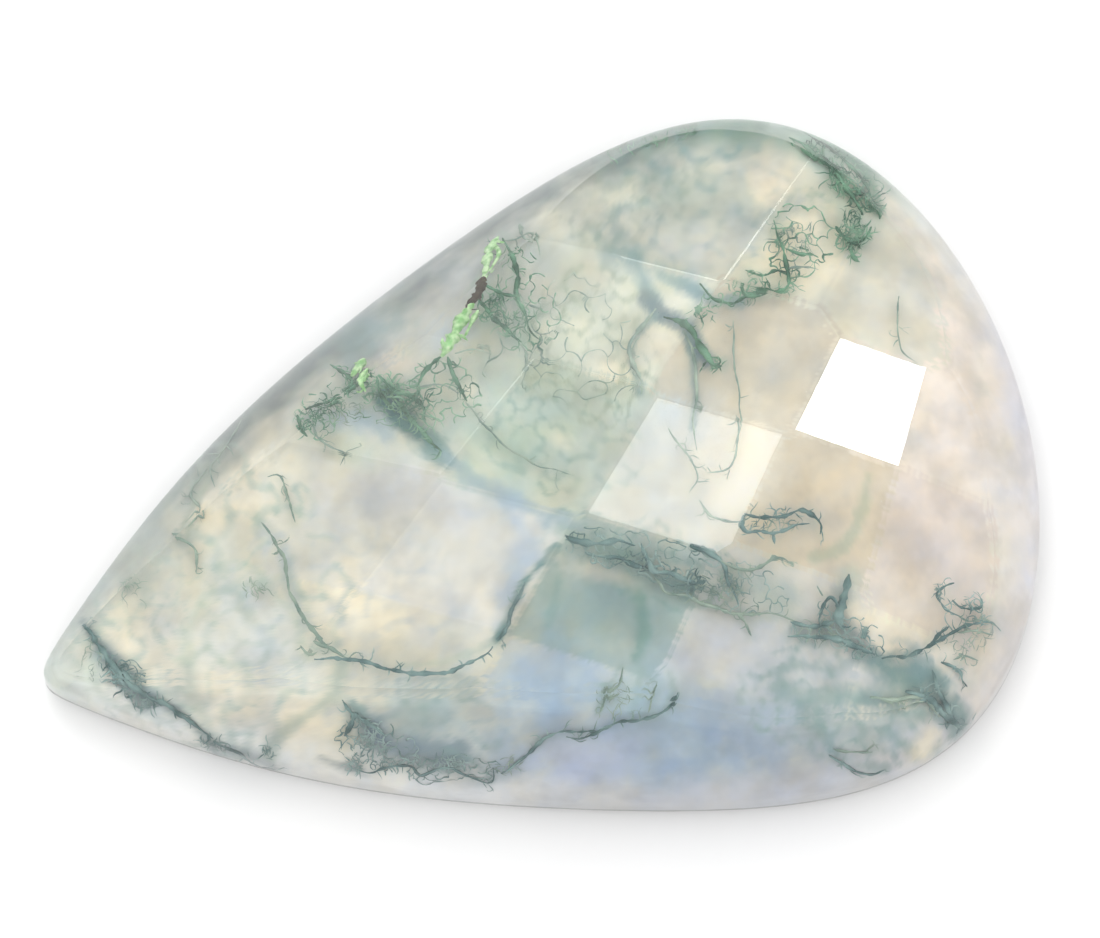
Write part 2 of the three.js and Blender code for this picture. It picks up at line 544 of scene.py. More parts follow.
def moss_material(name, dark, light, grains=9):
    """Two shades of one growth, mottled along the threads in so many grains to 3 mm."""
    material, tree, shader = new_material(name)
    place = add_node(tree, "ShaderNodeTexCoord")
    mottle = add_node(tree, "ShaderNodeTexNoise", Scale=grains / (3 * MM), Detail=1)
    shade = tree.nodes.new("ShaderNodeValToRGB")
    for stop, position, tone in zip(shade.color_ramp.elements, MOTTLE_STOPS, (dark, light)):
        stop.position = position
        stop.color = (*tone, 1)
    tree.links.new(place.outputs["Object"], mottle.inputs["Vector"])
    tree.links.new(mottle.outputs["Fac"], shade.inputs["Fac"])
    tree.links.new(shade.outputs["Color"], shader.inputs["Base Color"])
    shader.inputs["Roughness"].default_value = 0.8
    shader.inputs["Specular IOR Level"].default_value = 0.1
    return material


CREAM, TAN, PEACH = (1.0, 0.92, 0.75), (0.84, 0.76, 0.62), (0.90, 0.80, 0.73)
PALE, MILK, LILAC = (0.80, 0.79, 0.68), (0.82, 0.82, 0.81), (0.66, 0.67, 0.69)
BLUE, TEAL, SLATE = (0.41, 0.54, 0.68), (0.25, 0.39, 0.39), (0.14, 0.22, 0.26)
GREEN, GREY, MOSS = (0.47, 0.58, 0.50), (0.56, 0.61, 0.56), (0.12, 0.28, 0.20)
LEAF, PALE_MOSS = (0.50, 0.80, 0.42), (0.36, 0.48, 0.42)

dark = Growth((0.28, 0.45, 0.35))
slate = Growth((0.40, 0.53, 0.50))
fine = Growth(PALE_MOSS, 4)
bright = Growth(LEAF, 6)
rust = Growth(SLATE, 6)

# A strand is (growth, places, width at its two ends, depth at its two ends, twigs, their reach), a tangle is
# (growth, centre, radii, lean in degrees, count, length, width, least and most depth, curl), and a web is
# (growth, centre, radii, lean, size of its cells, width, least and most depth, share of gaps).

# The green vein, its brown patch and the threads beside it
GREEN_VEIN = [
    (bright, [(498, 236), (490, 250), (486, 262), (483, 277)], 10, 10, 0.16, 0.16, 2, 10),
    (bright, [(493, 244), (498, 256), (491, 270)], 4, 4, 0.2, 0.2),
    (bright, [(474, 302), (465, 315), (455, 331), (447, 344), (441, 358)], 14, 11, 0.16, 0.16, 3, 12),
    (bright, [(478, 310), (471, 325), (463, 336)], 5, 3, 0.25, 0.25),
    (bright, [(366, 360), (358, 368), (352, 377)], 13, 9, 0.16, 0.16, 4, 10),
    (bright, [(368, 368), (362, 380), (366, 392)], 6, 4, 0.2, 0.22, 2, 10),
    (rust, [(485, 276), (480, 287), (474, 298), (468, 303)], 12, 8, 0.15, 0.17, 3, 9),
    (dark, [(503, 240), (508, 252), (514, 262), (518, 276), (517, 290), (520, 304), (527, 319),
        (532, 332), (541, 341)], 5, 3, 0.2, 0.5, 9, 20),
    (dark, [(484, 284), (495, 290), (505, 295), (516, 297)], 4, 3, 0.2, 0.3, 3, 16),
    (dark, [(478, 300), (485, 310), (495, 319), (504, 327), (513, 335), (521, 342)], 6, 4, 0.2, 0.4, 8, 20),
    (fine, [(521, 342), (527, 353), (526, 370), (520, 384)], 3, 1.6, 0.4, 0.7, 2, 16),
    (dark, (491, 306), (15, 11), 20, 22, 16, 2.4, 0.2, 0.5),
    (dark, (512, 322), (14, 10), 40, 16, 16, 2.2, 0.3, 0.6),
    (fine, [(503, 240), (515, 238), (528, 234), (537, 241), (539, 254)], 3, 2, 0.3, 0.4, 3, 14),
    (fine, [(520, 222), (521, 234), (524, 240)], 4, 3, 0.3, 0.4, 2, 10),
    (fine, [(542, 308), (531, 305), (520, 301)], 2.4, 2.4, 0.4, 0.4, 1, 12),
    (fine, [(498, 330), (503, 345), (499, 356), (488, 362), (480, 373)], 2.4, 1.6, 0.4, 0.7, 3, 14),
    (dark, [(441, 357), (430, 366), (422, 374), (417, 387)], 5, 4, 0.18, 0.3, 5, 15),
    (dark, [(446, 357), (450, 370), (456, 382), (461, 392), (466, 401)], 5, 4.5, 0.18, 0.5, 5, 16),
    (fine, [(466, 401), (476, 415), (490, 431), (506, 447), (522, 456), (546, 468),
        (575, 476)], 3.6, 1.6, 0.6, 1.2, 4, 18),
    (fine, [(420, 388), (435, 385), (448, 388), (459, 394)], 3, 2, 0.3, 0.4, 3, 14),
    (fine, [(454, 352), (470, 350), (492, 353)], 2, 1.4, 0.3, 0.5, 2, 12),
]

# The clump below it on the left, with its ringlets
LEFT_CLUMP = [
    (dark, [(378, 375), (386, 386), (396, 392), (409, 396), (421, 403),
        (425, 416)], 5, 4, 0.18, 0.45, 12, 18),
    (dark, [(330, 365), (342, 371), (350, 378), (350, 389), (344, 396)], 4, 5, 0.2, 0.25, 5, 12),
    (dark, [(376, 376), (378, 390), (385, 402), (395, 412)], 4, 3.5, 0.2, 0.5, 4, 14),
    (dark, [(386, 390), (402, 408), (420, 428), (442, 452)], 6, 4, 0.4, 0.6, 12, 12),
    (dark, (404, 394), (26, 12), 15, 42, 16, 2.4, 0.2, 0.5),
    (dark, (365, 388), (20, 12), 30, 22, 14, 2.2, 0.2, 0.45),
    (dark, (417, 408), (10, 14), 0, 14, 14, 2.2, 0.25, 0.5),
    (dark, [(305, 410), (318, 404), (330, 402), (342, 398)], 4, 4, 0.25, 0.3, 5, 12),
    (dark, [(297, 415), (302, 429), (308, 438)], 4, 2.5, 0.3, 0.4, 3, 10),
    (fine, [(312, 420), (316, 434), (324, 443), (337, 451), (352, 456)], 3, 1.6, 0.4, 0.7, 4, 14),
    (dark, (322, 418), (24, 12), -10, 26, 13, 2, 0.25, 0.5, 0.9),
    (fine, (340, 410), (30, 14), 0, 24, 14, 1.8, 0.4, 0.8, 0.8),
]

# Upper middle: the thick branch, the arc and the network
UPPER_BRANCH = [
    (dark, [(664, 316), (680, 321), (690, 330), (699, 345), (708, 358), (717, 367),
        (723, 367)], 6, 7, 0.6, 0.35, 5, 14),
    (dark, (716, 366), (6, 4), 0, 10, 8, 2.6, 0.3, 0.45),
    (fine, [(656, 310), (645, 321), (635, 336), (630, 350), (632, 366), (640, 381),
        (641, 396)], 5, 4, 0.9, 1.1, 2, 14),
    (fine, [(684, 330), (691, 346), (695, 366), (697, 386), (695, 406), (693, 425),
        (697, 450)], 5, 2.4, 0.7, 0.9, 2, 14),
    (fine, [(733, 320), (733, 345), (735, 366), (738, 392), (741, 420),
        (734, 450)], 2.4, 1.8, 1.1, 1.2, 2, 14),
    (dark, [(700, 283), (708, 294), (716, 301), (731, 303), (746, 297), (758, 293), (766, 290),
        (779, 291), (787, 284), (787, 270), (785, 258), (783, 245), (776, 232),
        (772, 220)], 5, 3.4, 0.6, 0.4, 14, 16),
    (dark, [(741, 284), (746, 294), (760, 298)], 5, 4, 0.5, 0.5, 3, 12),
    (dark, [(787, 272), (776, 270), (766, 275), (756, 275), (745, 270)], 3.4, 2.4, 0.45, 0.6, 4, 14),
    (dark, [(785, 250), (800, 254), (812, 255), (820, 258)], 3.6, 3.4, 0.4, 0.4, 4, 12),
    (fine, [(788, 268), (805, 268), (820, 269)], 3.4, 2.6, 0.4, 0.45, 2, 10),
    (fine, (790, 238), (22, 16), 0, 26, 18, 1.9, 0.4, 0.8, 0.9),
    (dark, (755, 290), (26, 9), -8, 26, 13, 2, 0.4, 0.7, 0.8),
    (dark, (702, 312), (12, 9), 0, 16, 12, 2.2, 0.5, 0.8),
    (fine, [(898, 296), (897, 330), (903, 350), (916, 366)], 2.2, 1.6, 0.6, 0.5, 2, 12),
]

# The clump along the rim at the top right
RIM_CLUMP = [
    (dark, [(790, 136), (810, 150), (830, 168), (845, 185), (855, 200),
        (861, 216)], 6, 6, 0.35, 0.3, 14, 16),
    (dark, [(803, 132), (822, 143), (841, 158), (856, 172), (868, 188),
        (876, 206)], 6, 5, 0.25, 0.2, 14, 14),
    (dark, [(874, 203), (881, 211), (880, 220)], 5, 4, 0.2, 0.2, 4, 10),
    (dark, (846, 184), (36, 9), 48, 46, 18, 2.6, 0.2, 0.6),
    (dark, (853, 240), (15, 7), 0, 34, 12, 2.6, 0.2, 0.5),
    (dark, [(850, 244), (852, 256), (860, 262)], 5, 3.4, 0.3, 0.3, 5, 10),
    (dark, [(836, 226), (843, 236), (853, 243), (866, 236), (871, 227)], 4, 4, 0.3, 0.3, 7, 12),
]

# Middle: the tangle below the bright facet and its looped spurs
MIDDLE_TANGLE = [
    (slate, [(565, 535), (576, 540), (590, 543), (605, 543), (620, 541),
        (636, 545)], 6, 3.6, 0.5, 0.5, 8, 18),
    (slate, [(585, 552), (605, 557), (622, 560), (640, 566), (656, 572)], 4, 4, 0.6, 0.6, 8, 16),
    (slate, [(641, 543), (645, 555), (650, 565), (656, 572), (670, 574), (683, 579), (695, 583),
        (704, 580)], 5, 6, 0.5, 0.5, 10, 16),
    (slate, (690, 588), (12, 8), 20, 22, 12, 2.6, 0.4, 0.7),
    (slate, (648, 560), (12, 10), 30, 16, 12, 2.2, 0.4, 0.7),
    (fine, [(650, 572), (660, 583), (667, 593), (690, 595), (699, 601), (715, 608), (736, 612),
        (760, 615), (781, 617), (800, 622)], 4, 3, 0.6, 0.7, 8, 18),
    (slate, [(690, 545), (703, 550), (716, 558), (726, 568), (728, 581), (735, 595),
        (739, 606)], 5, 3, 0.5, 0.6, 9, 16),
    (fine, [(720, 562), (735, 568), (750, 570), (763, 566), (775, 560), (786, 560),
        (796, 566)], 3.6, 3, 0.5, 0.5, 4, 12),
    (fine, [(735, 612), (744, 622), (751, 636)], 4, 2.6, 0.7, 0.8, 1, 12),
    (fine, (722, 590), (18, 16), 30, 30, 16, 2, 0.5, 0.9, 0.8),
    (slate, [(745, 515), (760, 518), (776, 517), (790, 514), (803, 512), (815, 517), (821, 525),
        (820, 534)], 4, 4, 0.35, 0.3, 7, 12),
    (slate, [(745, 515), (742, 525), (748, 532), (761, 532), (774, 533), (786, 530), (796, 525),
        (809, 524)], 4, 2.6, 0.4, 0.3, 7, 12),
    (slate, [(773, 533), (775, 544)], 3, 2, 0.4, 0.4),
    (fine, (775, 524), (26, 7), 0, 20, 13, 1.8, 0.3, 0.6),
]

# Right: the spike, the sprig and the dark wedge
RIGHT_SPRIG = [
    (slate, [(849, 575), (845, 590), (841, 603), (838, 615), (846, 628)], 6, 11, 0.35, 0.6, 3, 10),
    (slate, [(838, 606), (829, 598), (822, 610), (818, 622)], 4, 3, 0.4, 0.5, 4, 10),
    (fine, [(817, 584), (823, 596)], 2.4, 1.8, 0.5, 0.5),
    (slate, [(790, 622), (806, 625), (821, 626), (836, 620)], 4, 5, 0.6, 0.6, 6, 12),
    (slate, [(788, 638), (802, 635), (820, 637), (842, 641), (862, 651),
        (875, 655)], 3.6, 7, 0.7, 0.6, 7, 13),
    (slate, (858, 642), (18, 9), 38, 22, 12, 2.6, 0.5, 0.9),
    (fine, (815, 632), (26, 9), 8, 24, 14, 2, 0.6, 1),
    (slate, [(882, 658), (905, 658), (920, 652), (932, 643), (943, 640), (953, 632), (964, 625),
        (978, 623), (990, 624), (1001, 631)], 4, 3, 0.45, 0.25, 14, 16),
    (slate, [(930, 646), (940, 634), (951, 627)], 3, 2.4, 0.35, 0.3, 3, 12),
    (slate, [(954, 583), (945, 588), (937, 595), (942, 604), (950, 612),
        (960, 616)], 2.6, 2, 0.3, 0.3, 6, 14),
    (slate, (939, 594), (4, 4), 0, 8, 6, 2.4, 0.25, 0.35),
    (slate, [(952, 600), (960, 606), (969, 609), (979, 606), (980, 597),
        (974, 591)], 2.4, 2.2, 0.3, 0.3, 6, 12),
    (slate, (972, 607), (7, 3), 0, 9, 7, 2.4, 0.25, 0.35),
    (fine, [(958, 632), (975, 630), (992, 635)], 2.2, 1.6, 0.35, 0.3, 3, 12),
    (fine, [(959, 615), (970, 620), (984, 619), (998, 627)], 2, 1.8, 0.3, 0.3, 3, 10),
    (fine, (965, 640), (26, 12), 0, 18, 14, 1.4, 0.3, 0.6),
    (slate, [(941, 662), (953, 666), (961, 674), (962, 682), (967, 687)], 3.6, 2.6, 0.35, 0.3, 7, 11),
    (fine, [(953, 660), (966, 657), (978, 660)], 2.6, 1.6, 0.35, 0.35, 2, 10),
    (slate, [(905, 690), (920, 695), (935, 704), (949, 718), (960, 731)], 5, 8, 0.6, 0.35, 10, 14),
    (slate, [(932, 670), (936, 684), (945, 704), (955, 722)], 3, 6, 0.5, 0.35, 6, 12),
    (slate, (945, 712), (18, 7), 50, 24, 12, 2.6, 0.4, 0.7),
    (fine, [(870, 697), (890, 700), (910, 697), (926, 700), (940, 717)], 4, 3, 0.8, 0.6, 5, 16),
    (slate, [(828, 754), (840, 763), (855, 770), (872, 773), (886, 770)], 3.6, 3, 0.8, 0.7, 4, 12),
    (fine, [(833, 749), (855, 752), (873, 752)], 3, 2, 0.8, 0.8, 2, 12),
]

# Left: the smile, the fine strands and the band towards the tip
LEFT_BAND = [
    (fine, [(250, 398), (240, 420), (229, 441), (217, 458), (211, 470),
        (214, 486)], 4, 3, 0.35, 0.5, 6, 14),
    (fine, [(207, 468), (198, 480), (190, 494), (200, 510), (190, 526)], 4, 2.4, 0.4, 0.6, 5, 14),
    (fine, [(174, 535), (188, 544), (196, 555), (197, 573)], 3.6, 3, 0.4, 0.5, 3, 12),
    (fine, [(268, 477), (279, 477), (287, 498), (294, 522)], 3, 1.8, 0.7, 0.9, 3, 14),
    (fine, (132, 590), (10, 16), 0, 9, 16, 1.8, 0.4, 0.8),
    (fine, [(261, 522), (270, 535), (280, 548), (285, 561), (287, 576), (291, 595), (300, 612),
        (312, 628), (325, 645), (340, 655), (352, 660)], 4, 4, 0.5, 0.5, 7, 14),
    (slate, [(314, 659), (335, 658), (352, 659), (370, 663), (386, 668), (401, 671), (416, 673),
        (436, 673), (451, 670), (466, 665), (481, 656), (492, 646)], 4, 4, 0.4, 0.4, 10, 11),
    (fine, [(314, 640), (330, 647), (344, 657)], 3.4, 3, 0.45, 0.4, 2, 10),
    (fine, [(300, 646), (309, 655), (316, 652)], 3, 2, 0.5, 0.5, 2, 8),
    (fine, (258, 590), (14, 8), 20, 14, 12, 1.9, 0.5, 0.8, 0.9),
    (slate, [(498, 640), (508, 624), (512, 610), (518, 595), (525, 582)], 6, 3.6, 0.6, 0.9, 4, 10),
    (slate, [(105, 656), (118, 670), (128, 682), (141, 691), (156, 700), (172, 708), (188, 718),
        (200, 730), (213, 741)], 8, 5, 0.45, 0.45, 12, 13),
    (slate, [(213, 741), (230, 750), (246, 758), (262, 766), (280, 771)], 5, 4, 0.4, 0.3, 6, 12),
    (slate, [(82, 625), (90, 632), (98, 645), (108, 658)], 4, 6, 0.35, 0.45, 4, 10),
    (slate, (124, 680), (20, 8), 48, 34, 13, 2.8, 0.35, 0.7),
    (slate, (144, 705), (11, 6), 10, 22, 10, 2.4, 0.3, 0.5),
    (slate, (214, 748), (14, 8), 30, 24, 11, 2.4, 0.3, 0.6),
    (slate, (268, 750), (6, 9), 10, 12, 10, 2.2, 0.4, 0.7),
    (fine, (90, 655), (16, 16), 0, 14, 12, 1.6, 0.3, 0.6),
]

# Bottom: the ragged clump and the branch that climbs from it to the right
BOTTOM_CLUMP = [
    (slate, [(342, 700), (352, 712), (362, 720), (375, 728), (386, 736)], 4, 5, 0.4, 0.5, 7, 13),
    (slate, [(354, 713), (349, 726), (345, 736)], 5, 4, 0.4, 0.4, 4, 10),
    (slate, (368, 746), (24, 12), 20, 44, 13, 2.4, 0.35, 0.8),
    (slate, (355, 766), (9, 6), 0, 22, 9, 2.6, 0.3, 0.5),
    (slate, [(355, 768), (370, 773), (384, 768), (397, 765), (411, 768), (421, 775), (436, 770),
        (452, 768), (466, 775), (480, 780), (492, 781), (493, 769)], 4, 3, 0.4, 0.35, 16, 10),
    (slate, (425, 764), (42, 5), 2, 46, 11, 2.2, 0.4, 0.7),
    (slate, [(500, 775), (510, 768), (525, 757), (540, 744), (555, 735), (566, 732), (580, 732),
        (596, 730)], 3.6, 3.4, 0.45, 0.5, 9, 12),
    (slate, [(566, 737), (580, 738), (595, 735), (606, 728), (620, 722), (640, 719), (655, 717),
        (666, 710), (675, 701), (678, 692)], 3.6, 3.4, 0.5, 0.5, 10, 12),
    (fine, [(600, 712), (607, 695), (619, 682), (623, 668)], 3, 2, 0.6, 0.8, 3, 14),
    (fine, [(648, 712), (652, 695), (656, 680)], 3, 2, 0.6, 0.8, 2, 12),
    (fine, (615, 700), (14, 14), 0, 14, 13, 1.6, 0.6, 0.9),
    (fine, (505, 765), (14, 8), 0, 14, 10, 1.8, 0.4, 0.7),
]

# Ragged growth along the rim at the top
TOP_RIM = [
    (dark, [(600, 156), (625, 142), (655, 130), (690, 124), (720, 121)], 5, 4, 0.25, 0.2, 8, 14),
    (dark, (660, 134), (50, 7), -14, 30, 14, 2.4, 0.2, 0.5),
]

# Hairs under the milky facet
MILKY_HAIRS = [
    (fine, [(668, 428), (680, 446), (692, 460), (698, 478), (690, 494)], 3, 1.6, 0.5, 0.6, 4, 20),
    (fine, [(736, 415), (738, 440), (733, 462), (724, 470), (706, 474)], 3, 2, 0.5, 0.6, 4, 14),
    (fine, [(700, 500), (712, 516), (738, 522), (752, 516)], 3, 2, 0.5, 0.5, 3, 14),
    (dark, (852, 226), (14, 12), 0, 26, 16, 2.4, 0.2, 0.6),
]

# Nets of threads round pale cells
THREAD_NETS = [
    (dark, (527, 300), (24, 50), -16, 13, 1.2, 0.3, 0.7, 0.35),
    (dark, (446, 392), (30, 24), 20, 13, 1.2, 0.25, 0.6, 0.3),
    (dark, (372, 396), (46, 20), 18, 10, 1.1, 0.2, 0.5, 0.35),
    (dark, (318, 415), (22, 18), 0, 9, 1.2, 0.25, 0.5, 0.3),
    (dark, (800, 240), (32, 30), 10, 15, 1.5, 0.35, 0.8, 0.3),
    (dark, (856, 176), (44, 9), 50, 10, 1.4, 0.2, 0.5, 0.3),
    (slate, (650, 558), (90, 14), 16, 13, 1.2, 0.5, 0.9, 0.35),
    (slate, (745, 590), (40, 18), 14, 14, 1.1, 0.6, 1, 0.35),
    (slate, (852, 634), (36, 13), 30, 11, 1.2, 0.5, 0.9, 0.3),
    (slate, (130, 682), (38, 11), 44, 10, 1.3, 0.35, 0.7, 0.3),
    (slate, (375, 745), (40, 18), 10, 12, 1.2, 0.35, 0.8, 0.4),
    (slate, (440, 768), (70, 7), 0, 9, 1.2, 0.35, 0.6, 0.35),
    (fine, (580, 345), (50, 56), 0, 24, 1.3, 0.7, 1.1, 0.45),
]

for rows in (
    GREEN_VEIN, LEFT_CLUMP, UPPER_BRANCH, RIM_CLUMP, MIDDLE_TANGLE,
    RIGHT_SPRIG, LEFT_BAND, BOTTOM_CLUMP, TOP_RIM, MILKY_HAIRS,
):
    for growth, start, *rest in rows:
        grow = growth.strand if isinstance(start, list) else growth.tangle
        grow(start, *rest)
for growth, *net in THREAD_NETS:
    growth.web(*net)

moss_dark = moss_material("moss_dark", (0.028, 0.110, 0.065), (0.17, 0.37, 0.24))
dark_thin = moss_material("moss_dark_thin", (0.075, 0.210, 0.135), (0.31, 0.54, 0.38))
moss_slate = moss_material("moss_slate", (0.065, 0.145, 0.145), (0.26, 0.40, 0.39))
slate_thin = moss_material("moss_slate_thin", (0.150, 0.260, 0.250), (0.42, 0.57, 0.55))
moss_fine = moss_material("moss_fine", (0.20, 0.30, 0.26), (0.42, 0.53, 0.44))
moss_green = moss_material("moss_green", (0.28, 0.62, 0.22), (0.75, 1.0, 0.62), 30)
moss_brown = moss_material("moss_brown", (0.030, 0.022, 0.016), (0.10, 0.085, 0.055))
dark.finish("moss_dark_threads", moss_dark, dark_thin)
slate.finish("moss_slate_threads", moss_slate, slate_thin)
fine.finish("moss_fine_threads", moss_fine)
bright.finish("moss_green_vein", moss_green)
rust.finish("moss_brown_patch", moss_brown)


# The veil's haze and clouds, which are laid one over another with the painted facet shading and the painted
# light and shade along the rim
# A cloud is (centre, radii, lean in degrees, tone, strength), a stroke is (places, width, tone, strength).

DEEP = [
    ((950, 450), (150, 260), 0, PEACH, 0.9),
    ((1015, 520), (50, 150), 0, MILK, 0.5),
    ((800, 430), (100, 150), 0, TAN, 0.8),
    ((780, 370), (50, 60), 0, GREY, 0.35),
    ((890, 620), (90, 50), 10, CREAM, 0.9),
    ((990, 660), (40, 70), 20, TAN, 0.8),
    ((700, 200), (150, 90), -8, (0.50, 0.56, 0.51), 0.85),
    ((590, 300), (50, 90), 40, PALE, 0.6),
    ((555, 260), (70, 60), -30, GREY, 0.7),
    ((775, 185), (36, 32), 0, CREAM, 1.0),
    ((665, 285), (48, 30), 10, TEAL, 0.6),
    ((700, 145), (130, 26), -6, (0.46, 0.52, 0.47), 0.6),
    ((705, 228), (46, 18), 0, (0.64, 0.66, 0.58), 0.7),
    ((800, 250), (50, 50), 0, CREAM, 0.5),
    ((560, 400), (110, 110), 20, GREEN, 0.8),
    ((600, 370), (36, 40), 0, PALE, 0.6),
    ((420, 310), (160, 52), -40, (0.52, 0.54, 0.54), 0.8),
    ((395, 368), (30, 18), 0, PEACH, 0.5),
    ((240, 510), (80, 70), -30, CREAM, 0.6),
    ((150, 650), (60, 50), 30, CREAM, 0.6),
    ((228, 562), (44, 40), 0, GREY, 0.5),
    ((300, 515), (40, 34), 0, (0.66, 0.68, 0.64), 0.6),
    ((350, 335), (60, 26), -40, (0.36, 0.42, 0.42), 0.6),
    ((245, 650), (84, 74), 0, (0.72, 0.76, 0.76), 0.85),
    ((232, 704), (46, 40), 0, CREAM, 0.7),
    ((370, 600), (76, 66), 0, CREAM, 1.0),
    ((400, 490), (90, 44), 14, LILAC, 0.8),
    ((480, 590), (40, 80), 8, MILK, 0.5),
    ((440, 600), (10, 70), 6, CREAM, 0.6),
    ((488, 610), (12, 50), 16, CREAM, 0.8),
    ((312, 722), (44, 46), 30, CREAM, 1.0),
    ((372, 700), (32, 28), 0, CREAM, 0.9),
    ((150, 735), (70, 20), 14, CREAM, 0.8),
    ((620, 600), (110, 60), 12, TEAL, 0.7),
    ((650, 735), (250, 110), -2, BLUE, 1.0),
    ((560, 690), (70, 50), 0, BLUE, 0.6),
    ((580, 765), (70, 36), 0, (0.60, 0.65, 0.80), 0.8),
    ((770, 724), (70, 44), 0, (0.34, 0.44, 0.60), 0.8),
    ((725, 650), (70, 48), 10, LILAC, 0.9),
    ((860, 712), (120, 64), 10, (0.44, 0.52, 0.52), 0.9),
    ((850, 778), (110, 30), -10, (0.58, 0.58, 0.60), 0.9),
    ((425, 715), (80, 46), 10, (0.42, 0.53, 0.52), 0.8),
]
